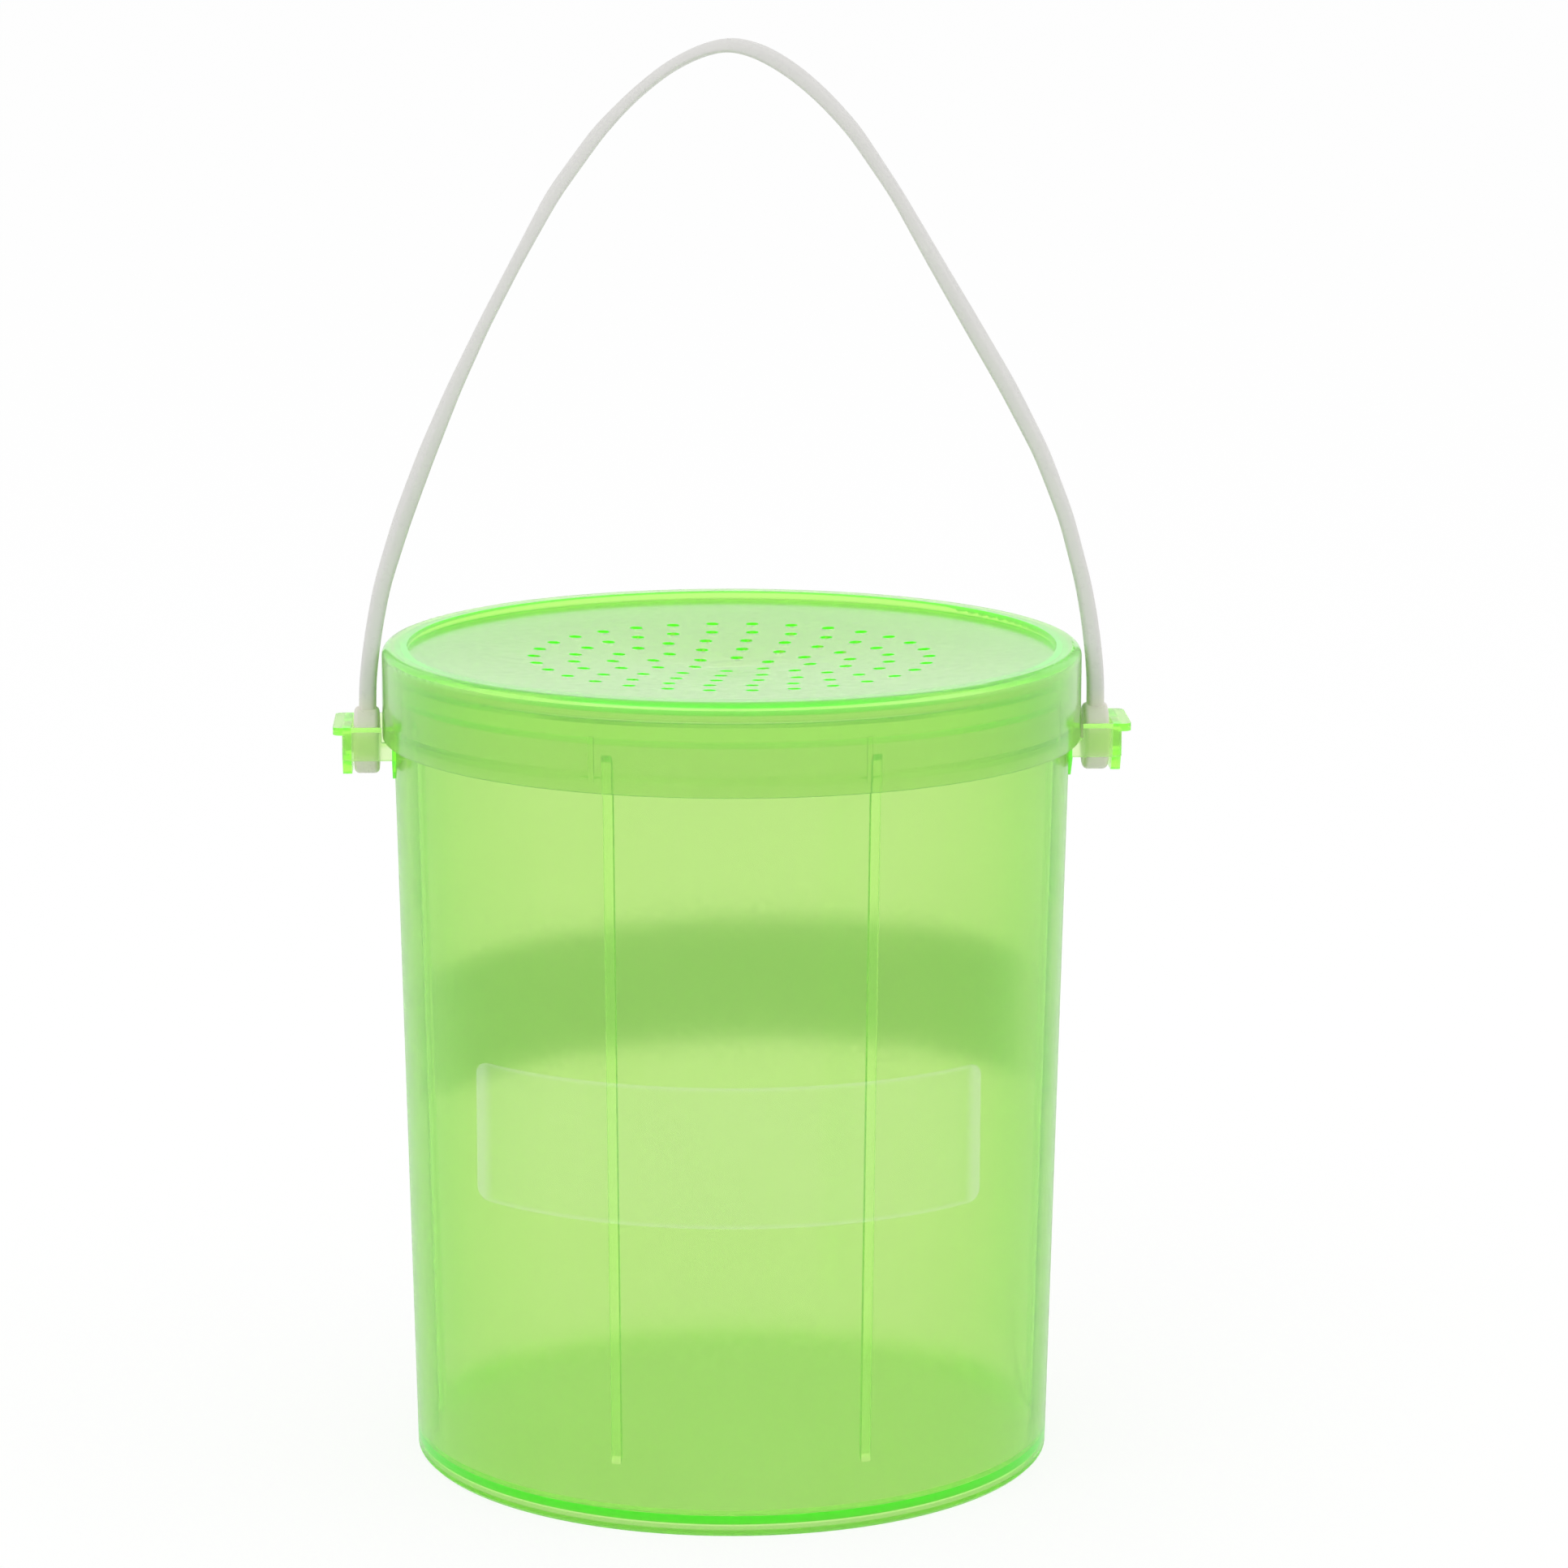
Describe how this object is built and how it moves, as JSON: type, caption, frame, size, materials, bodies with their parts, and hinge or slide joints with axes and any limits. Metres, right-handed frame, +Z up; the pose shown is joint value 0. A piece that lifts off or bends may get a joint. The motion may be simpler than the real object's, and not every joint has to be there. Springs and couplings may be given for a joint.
{
  "type": "worm bait box",
  "caption": "Small translucent moulded pail with a vented press-on lid and a one-piece bail that leans over in two side ears.",
  "frame": {"origin": "centre of the bucket's base, on the surface that it stands on", "axes": "+Z up along the bucket's axis; X through both ears and the bail's pivots; the label faces -Y"},
  "size_m": [0.1136, 0.0998, 0.2036],
  "materials": {
    "green_plastic": "glossy translucent light green moulded polypropylene",
    "milky_plastic": "milky translucent moulded polyethylene",
    "clear_film": "clear glossy adhesive film, bare",
    "white_film": "white satin adhesive film, bare"
  },
  "bodies": {
    "pail": {"bucket": "green_plastic", "label_film": "clear_film", "back_label": "white_film"},
    "lid": {"lid": "green_plastic"},
    "bail": {"bail": "milky_plastic"}
  },
  "joints": [
    {"name": "lid_lift", "type": "slide", "parent": "pail", "child": "lid", "axis": [0, 0, 1], "range_m": [0, 0.01]},
    {"name": "bail_swing", "type": "hinge", "parent": "pail", "child": "bail", "pos_m": [0, 0, 0.1042], "axis": [-1, 0, 0], "range_deg": [0, 48]}
  ],
  "couplings": [
    {"joint": "bail_swing", "follows": "lid_lift", "rad_per_m": 83.776}
  ]
}
